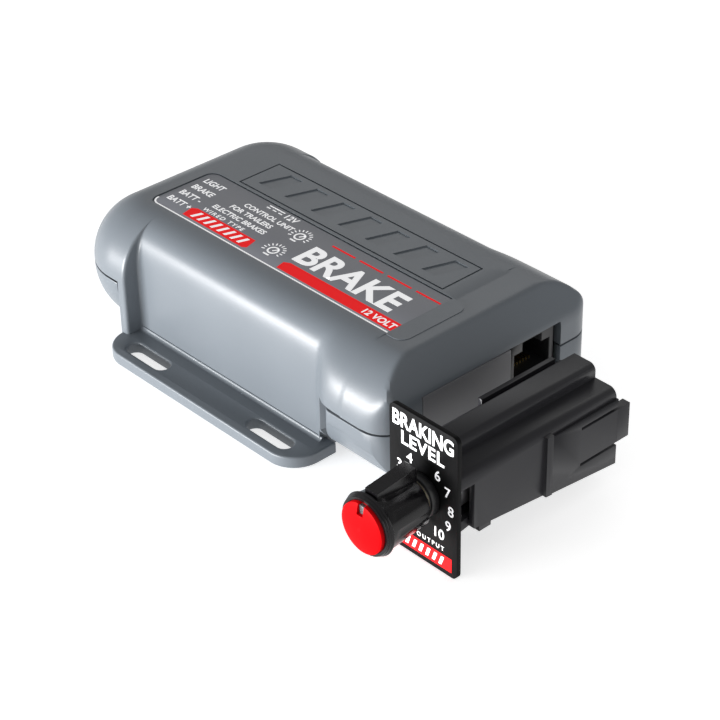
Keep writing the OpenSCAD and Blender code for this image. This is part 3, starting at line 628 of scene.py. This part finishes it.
def filletStrip(sign):
    # a hollow quarter round along the foot of the waist wall, sunk a little into wall and flange
    f, wall, sunk = flange, casing["waistHalf"] - 0.02, flange["filletSunk"]
    a = np.linspace(0, np.pi / 2, 8)
    r = f["fillet"]
    arc = np.c_[wall + r - r * np.cos(a), f["thick"] + r - r * np.sin(a)]
    section = np.concatenate([[(wall - sunk, f["thick"] - sunk), (wall - sunk, f["thick"] + r)], arc,
                              [(wall + r, f["thick"] - sunk)]])
    xs = np.linspace(casing["stepX"] - 0.1, casing["rampX"] + 0.6, 24)
    points = np.stack([np.repeat(xs, len(section)), np.tile(section[:, 0] * sign, len(xs)),
                       np.tile(section[:, 1], len(xs))], 1)
    n = len(section)
    along, around = np.arange(len(xs) - 1)[:, None] * n, np.arange(n)[None, :]
    onward = (around + 1) % n
    sides = np.stack([along + around, along + onward, along + n + onward, along + n + around], -1)
    ends = [np.arange(n)[::-1].tolist(), (np.arange(n) + n * (len(xs) - 1)).tolist()]
    faces = sides.reshape(-1, 4).tolist() + ends
    return points, [face[::-1] for face in faces] if sign > 0 else faces


for side, sign in (("Near", -1), ("Far", 1)):
    f = flange
    loops = [flangeOutline(sign)] + [stadium(x, sign * f["slotY"], f["slotLength"], f["slotWidth"])
                                     for x in f["slotX"]]
    mesh = plateWithHoles("flange" + side, loops, 0, f["thick"], f["edge"])
    mesh.transform(Matrix.Translation(Vector(unitAt * 0.001)))
    finishMesh("flange" + side, mesh, finishes["casing_plastic"], "main_unit", 40)
    newPiece("fillet" + side, *filletStrip(sign), finishes["casing_plastic"], "main_unit",
             "casing_plastic", crease=50)
print("flanges ready")


capitalShare = 0.73  # height of a capital as a share of the font's size


def lettering(words, size, at, bold=0.0, align="LEFT", spacing=1.0, wide=1.0):
    # one line of plain lettering as a thin flat mesh; size is the height of a capital
    text = bpy.data.curves.new("words", "FONT")
    text.body, text.size = words, size * 0.001 / capitalShare
    text.align_x, text.space_character = align, spacing
    text.offset, text.extrude = bold * 0.001, 0.00001
    text.resolution_u = 6
    holder = bpy.data.objects.new("words", text)
    bpy.context.scene.collection.objects.link(holder)
    bpy.context.view_layer.update()
    mesh = bpy.data.meshes.new_from_object(
        holder.evaluated_get(bpy.context.evaluated_depsgraph_get()))
    bpy.data.objects.remove(holder)
    mesh.transform(Matrix.Diagonal((wide, 1, 1, 1)))
    mesh.transform(Matrix.Translation((at[0] * 0.001, at[1] * 0.001, 0)))
    return mesh


def patch(outlines, thick=0.02):
    # a thin flat shape from outlines; an outline inside another is a hole
    points, faces = sheet([np.asarray(o, float) for o in outlines], thick / 2)
    parts = [(points, faces), (points * (1, 1, -1), faces[:, ::-1])]
    for k, outline in enumerate(np.asarray(o, float) for o in outlines):
        rim, faces = wallsBetween(outline, -thick / 2, thick / 2)
        (x, y), (nextX, nextY) = outline.T, np.roll(outline, -1, 0).T
        anticlockwise = np.sum(x * nextY - nextX * y) > 0
        parts.append((rim, faces if anticlockwise == (k == 0) else faces[:, ::-1]))
    points, faces = joined(parts)
    mesh = bpy.data.meshes.new("patch")
    mesh.from_pydata((points * 0.001).tolist(), [], faces)
    return mesh


def stroke(path, width):
    # outline of a line of even width along a path, mitred at its corners and square at its ends
    path = np.asarray(path, float)
    before, after = np.roll(path, 1, 0), np.roll(path, -1, 0)
    before[0], after[-1] = 2 * path[0] - path[1], 2 * path[-1] - path[-2]
    one, two = path - before, after - path
    one /= np.linalg.norm(one, axis=1)[:, None]
    two /= np.linalg.norm(two, axis=1)[:, None]
    across = np.c_[-(one + two)[:, 1], (one + two)[:, 0]]
    across /= np.maximum(np.sum(across * np.c_[-two[:, 1], two[:, 0]], axis=1)[:, None], 0.2)
    left, right = path + across * width / 2, path - across * width / 2
    return [np.concatenate([left, right[::-1]])]


def ring(x, y, radius, width, steps=40):
    # the two outlines of a ring of even width
    a = np.linspace(0, 2 * np.pi, steps, endpoint=False)
    circle = np.c_[np.cos(a), np.sin(a)]
    return [circle * (radius + width / 2) + (x, y), circle * (radius - width / 2) + (x, y)]


def printPiece(name, meshes, placed, material, body):
    # several thin meshes made one piece and laid on a surface
    bm = bmesh.new()
    for mesh in meshes:
        bm.from_mesh(mesh)
        bpy.data.meshes.remove(mesh)
    bm.transform(placed)
    made = bpy.data.meshes.new(name)
    bm.to_mesh(made)
    bm.free()
    return finishMesh(name, made, material, body)


knob = dict(front=7.05, ring=1.5, ringOut=7.7, ringFoot=0.5, grip=7.2, back=6.2,
            grooves=(0.45, 1.05), grooveDeep=0.16, grooveHalf=0.1, flutes=10, cutter=5.4, cutterOut=12.3,
            cutterLean=4.0, fluteFrom=3.0, fluteFade=1.2, finHalf=1.9, finFront=8.35, finBack=9.6,
            finFrom=2.15, finTurn=0.36, bore=3.01, hub=4.4, hollow=4.9, hollowFrom=4.2)


def gripRadius(turn, s, length):
    # reach of the knob's skin at angle turn from the pointer and distance s behind the front plane:
    # a cone with two fine grooves, less shallow round flutes, plus a flat-topped fin
    k = knob
    cone = np.interp(s, (0, k["ring"], k["ring"] + k["ringFoot"], length),
                     (k["front"], k["ringOut"], k["grip"], k["back"]))
    for groove in k["grooves"]:
        cone = cone - k["grooveDeep"] * np.exp(-((s - groove) / k["grooveHalf"]) ** 2)
    step = 2 * np.pi / k["flutes"]
    phase = (turn % step) - step / 2
    out = k["cutterOut"] - math.tan(math.radians(k["cutterLean"])) * (s - k["fluteFrom"])
    flute = out * np.cos(phase) - np.sqrt(np.maximum(k["cutter"] ** 2 - (out * np.sin(phase)) ** 2, 0))
    inFlute = (np.abs(out * np.sin(phase)) < k["cutter"]) & (s > k["fluteFrom"])
    fade = np.clip((s - k["fluteFrom"]) / k["fluteFade"], 0, 1)
    skin = np.where(inFlute, np.minimum(cone, cone + (flute - cone) * fade), cone)
    away = (turn + np.pi) % (2 * np.pi) - np.pi
    top = np.interp(s, (k["finFrom"], length), (k["finFront"], k["finBack"]))
    side = k["finHalf"] / np.maximum(np.abs(np.sin(away)), 1e-6)
    fin = np.minimum(top / np.maximum(np.cos(away), 0.2), side)
    return np.where((np.abs(away) < 0.6) & (s >= k["finFrom"]), np.maximum(skin, fin), skin)


def knobSkin(front, back, pocketRadius, pocketDepth):
    # the outer skin, then the back face, hollow, bore and cap pocket as one closed tube of rings
    k, length = knob, back - front
    turn = np.concatenate([np.linspace(-k["finTurn"], k["finTurn"], 145)[:-1],
                           np.linspace(k["finTurn"], 2 * np.pi - k["finTurn"], 320)[:-1]])
    s = np.concatenate([np.linspace(0.1, k["finFrom"] - 0.01, 36), [k["finFrom"]],
                        np.linspace(2.6, length - 0.25, 40)])
    outer = gripRadius(turn[:, None], s[None, :], length)
    face = np.stack([np.full(len(turn), pocketRadius), np.full(len(turn), pocketRadius + 0.05),
                     outer[:, 0] - 0.12], 1)
    inner = np.array([(k["hollow"], length), (k["hollow"], k["hollowFrom"]), (k["hub"], k["hollowFrom"]),
                      (k["hub"], length), (k["bore"], length), (k["bore"], pocketDepth),
                      (pocketRadius, pocketDepth)])
    radius = np.concatenate([face, outer, outer[:, -1:] - 0.2,
                             np.broadcast_to(inner[:, 0], (len(turn), len(inner)))], 1)
    along = np.concatenate([[0.04, 0, 0], s, [length], inner[:, 1]])
    x = radius * np.sin(turn)[:, None]
    z = radius * np.cos(turn)[:, None]
    y = np.broadcast_to(front + along, x.shape)
    return np.stack([x, y, z], -1).reshape(-1, 3), tubeFaces(*x.shape)[:, ::-1]


def boxIn(name, place):
    # a node's box in millimetres, measured from place
    return [np.array(corner) * 1000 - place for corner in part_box(name)]


bodyLow, bodyHigh = boxIn("knob_body", headAt)
capLow, capHigh = boxIn("knob_cap", headAt)
axisZ = (capLow[2] + capHigh[2]) / 2
points, faces = knobSkin(bodyLow[1], bodyHigh[1], (capHigh[0] - capLow[0]) / 2 + 0.1,
                         capHigh[1] - bodyLow[1] + 0.02)
knobGrip = newPiece("knobGrip", points + (0, 0, axisZ), faces, finishes["knob_plastic"], "knob",
                    "knob_plastic", at=headAt, crease=24)
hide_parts("knob_body")
print("knob grip:", len(faces), "faces")

proud = 0.00002  # how far each layer of ink stands above the one under it, in metres
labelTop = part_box("top_label")[1].z
onLabel = Matrix.Translation((unitAt[0] * 0.001, unitAt[1] * 0.001, labelTop + proud))
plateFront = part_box("dial_plate")[0].y
onDial = Matrix.Translation((headAt[0] * 0.001, plateFront - proud, 0.0)) @ \
    Matrix.Rotation(math.radians(90), 4, "X")
nextLayer = Matrix.Translation((0, 0, proud))

wires = dict(words=("LIGHT", "BRAKE", "BATT -", "BATT +"), x=-41.2, y=(-4.0, -8.0, -12.0, -16.0),
             look=dict(size=2.1, bold=0.06, wide=0.92))
notes = dict(words=("CONTROL UNIT", "FOR TRAILERS", "ELECTRIC BRAKES"),
             x=(-24.2, -26.2, -29.4), y=(-4.8, -7.8, -10.8), look=dict(size=1.75, bold=0.05, wide=1.02))
supply = dict(words="12V", size=2.1, at=(-12.8, -1.6), bold=0.06)
wiring = dict(words="WIRED TYPE", size=1.4, at=(-30.0, -13.4), bold=0.03, spacing=1.3, wide=1.15)
directSign = dict(left=-19.4, right=-13.6, high=0.1, low=-0.9, dash=1.3, pitch=2.2, line=0.35)
title = dict(words="BRAKE", size=8.2, at=(3.6, -13.2), bold=0.3, wide=1.03)
gauges = dict(radius=3.3, places=((-2.4, -4.9), (-2.0, -13.9)), hub=0.42, tickFrom=0.72,
              fromAngle=-20, toAngle=200, step=20)
# a white line along the label's lit edges: painted highlight
labelEdgeHighlight = dict(inset=0.25, line=0.45, below=-14, beyond=46)
redBars = dict(left=[(-31.6, -18.4), (-8.6, -18.4), (-7.6, -17.6), (-8.6, -13.9), (-31.0, -13.9),
                     (-32.4, -14.9)],
               right=[(4.6, -18.6), (46.6, -18.6), (47.0, -17.9), (46.6, -14.9), (5.6, -14.9),
                      (4.0, -15.8)])
redDashes = dict(starts=(6.6, 16.4, 26.2, 36.0), y=-2.2, length=8.2, line=0.55)
slants = dict(first=-29.6, last=-11.0, pitch=2.55, low=-17.6, high=-14.7, width=1.0, lean=1.0)
voltage = dict(words="12 VOLT", size=2.1, at=(33.2, -17.8), bold=0.08)


def slantRow(first, last, pitch, low, high, width, lean):
    # a row of short leaning bars
    return [patch([[(x, low), (x + width, low), (x + width + lean, high), (x + lean, high)]])
            for x in np.arange(first, last, pitch)]


def directCurrent(left, right, high, low, dash, pitch, line):
    # a long line over three dashes
    dashes = [patch(stroke([(left + pitch * i, low), (left + pitch * i + dash, low)], line))
              for i in range(3)]
    return [patch(stroke([(left, high), (right, high)], line))] + dashes


def gaugeIcon(x, y):
    # a plain gauge symbol: a hub, a fan of ticks, a pointer and a foot
    g, radius = gauges, gauges["radius"]
    shapes = [patch(ring(x, y, radius * g["hub"], 0.45))]
    for a in np.radians(np.arange(g["fromAngle"], g["toAngle"] + 1, g["step"])):
        way = np.array((math.cos(a), math.sin(a)))
        shapes.append(patch(stroke([way * radius * g["tickFrom"] + (x, y), way * radius + (x, y)], 0.32)))
    shapes.append(patch(stroke([(x, y - radius * 0.1), (x + radius * 0.25, y + radius * 0.3)], 0.4)))
    shapes.append(patch(stroke([(x - 1.0, y - radius * 0.72), (x + 1.0, y - radius * 0.72)], 0.5)))
    return shapes


def paintedEdgeHighlight():
    # a painted highlight where the label's raised edge catches the light: a white line along its near
    # side and its right-hand end only
    inset = labelEdgeHighlight["inset"]
    path = roundedBox(label["size"][0] - 2 * inset, label["size"][1] - 2 * inset,
                      label["round"] - inset, label["centre"])
    path = path[(path[:, 1] < labelEdgeHighlight["below"]) | (path[:, 0] > labelEdgeHighlight["beyond"])]
    gap = np.linalg.norm(np.roll(path, 1, 0) - path, axis=1)
    return patch(stroke(np.roll(path, -np.argmax(gap > 20), 0), labelEdgeHighlight["line"]))


whites = [lettering(w, at=(wires["x"], y), **wires["look"]) for w, y in zip(wires["words"], wires["y"])]
whites += [lettering(w, at=(x, y), **notes["look"])
           for w, x, y in zip(notes["words"], notes["x"], notes["y"])]
whites += [lettering(**supply), lettering(**wiring)]
whites += directCurrent(**directSign)
whites.append(lettering(**title))
for x, y in gauges["places"]:
    whites += gaugeIcon(x, y)
# the painted edge highlight goes in with the print
whites.append(paintedEdgeHighlight())
printPiece("labelLegendsAndEdgeHighlight", whites, onLabel, whiteInk, "main_unit")

reds = [patch([redBars["left"]]), patch([redBars["right"]])]
reds += [patch(stroke([(x, redDashes["y"]), (x + redDashes["length"], redDashes["y"])],
                      redDashes["line"])) for x in redDashes["starts"]]
printPiece("labelRed", reds, onLabel, redInk, "main_unit")
ticks = slantRow(**slants) + [lettering(**voltage)]
printPiece("labelTicks", ticks, onLabel @ nextLayer, whiteInk, "main_unit")

dial = dict(centreZ=18.5, numeral=2.7, drop=1.3,
            marks={"0": (-4.7, -8.3), "1": (-7.9, -5.0), "2": (-8.7, -0.6), "3": (-7.4, 4.1),
                   "4": (-4.2, 7.3), "6": (4.4, 6.9), "7": (7.4, 3.9), "8": (8.5, -0.6),
                   "9": (7.7, -4.9), "10": (4.7, -8.3)})
dialWords = [dict(words="BRAKING", size=3.9, at=(-0.1, 32.7), bold=0.12, wide=0.84),
             dict(words="LEVEL", size=3.5, at=(-0.3, 28.5), bold=0.12, spacing=1.1),
             dict(words="OUTPUT", size=1.2, at=(2.2, 6.0), bold=0.02, spacing=1.5)]
dialBar = dict(halfWidth=8.8, low=1.3, high=5.0)
dialSlants = dict(first=-7.8, last=6.6, pitch=2.1, low=2.0, high=4.3, width=0.9, lean=0.8)

dialWhites = [lettering(n, dial["numeral"], (x, dial["centreZ"] + z - dial["drop"]), 0.05, "CENTER")
              for n, (x, z) in dial["marks"].items()]
dialWhites += [lettering(align="CENTER", **line) for line in dialWords]
printPiece("dialLegends", dialWhites, onDial, whiteInk, "remote_head")
half, low, high = dialBar["halfWidth"], dialBar["low"], dialBar["high"]
printPiece("dialRedBar", [patch([[(-half, low), (half, low), (half, high), (-half, high)]])], onDial,
           redInk, "remote_head")
printPiece("dialTicks", slantRow(**dialSlants), onDial @ nextLayer, whiteInk, "remote_head")
print("printing done")


def areaLight(name, place, target, size, power):
    # a flat lamp at place that faces target
    light = bpy.data.lights.new(name, "AREA")
    light.shape = "RECTANGLE"
    light.size, light.size_y = size
    light.energy = power
    lamp = bpy.data.objects.new(name, light)
    bpy.context.scene.collection.objects.link(lamp)
    lamp.location = place
    lamp.rotation_euler = (Vector(target) - Vector(place)).to_track_quat("-Z", "Y").to_euler()


floorMesh = bpy.data.meshes.new("floor")
floorMesh.from_pydata([(-3, -3, 0), (3, -3, 0), (3, 3, 0), (-3, 3, 0)], [], [(0, 1, 2, 3)])
floor = bpy.data.objects.new("floor", floorMesh)
bpy.context.scene.collection.objects.link(floor)
pale = Finish("pale_floor", Roughness=0.9, Base_Color=(0.93, 0.93, 0.93),
              Emission_Color=(1, 1, 1), Emission_Strength=0.6)
floorMesh.materials.append(pale.material)
floor.visible_shadow = False  # the front card reaches a little below the table top and shines through it

lights = {
    "frontCard": dict(place=(-0.32, -0.86, 0.03), target=(0, 0, 0.02), size=(0.7, 0.19), power=22),
    "backPanel": dict(place=(-0.50, 0.66, 0.50), target=(0, 0, 0), size=(0.8, 0.3), power=0.8),
    "sideCard": dict(place=(0.95, -0.05, 0.30), target=(0.02, 0, 0.02), size=(0.5, 0.5), power=1.4),
}
for name, layout in lights.items():
    areaLight(name, **layout)
world = bpy.data.worlds.new("studio")
bpy.context.scene.world = world
world.use_nodes = True
world.node_tree.nodes["Background"].inputs[0].default_value = (1, 1, 1, 1)
world.node_tree.nodes["Background"].inputs[1].default_value = 0.40
bpy.context.scene.view_settings.view_transform = "Standard"

sight = dict(azimuth=47.96, elevation=33.28, roll=-1.22, place=(0.33850, -0.29776, 0.30337),
             lens=109.525, sensor=36)
azimuth, elevation, roll = (math.radians(sight[turn]) for turn in ("azimuth", "elevation", "roll"))
back = Vector((math.sin(azimuth) * math.cos(elevation), -math.cos(azimuth) * math.cos(elevation),
               math.sin(elevation)))
right = Vector((math.cos(azimuth), math.sin(azimuth), 0))
up = back.cross(right)
rightRolled = math.cos(roll) * right + math.sin(roll) * up
upRolled = -math.sin(roll) * right + math.cos(roll) * up
lens = bpy.data.cameras.new("camera")
lens.lens, lens.sensor_width = sight["lens"], sight["sensor"]
lens.clip_start = 0.01
camera = bpy.data.objects.new("camera", lens)
bpy.context.scene.collection.objects.link(camera)
turned = Matrix((rightRolled, upRolled, back)).transposed().to_4x4()
camera.matrix_world = Matrix.Translation(sight["place"]) @ turned
bpy.context.scene.camera = camera
print("stage ready")
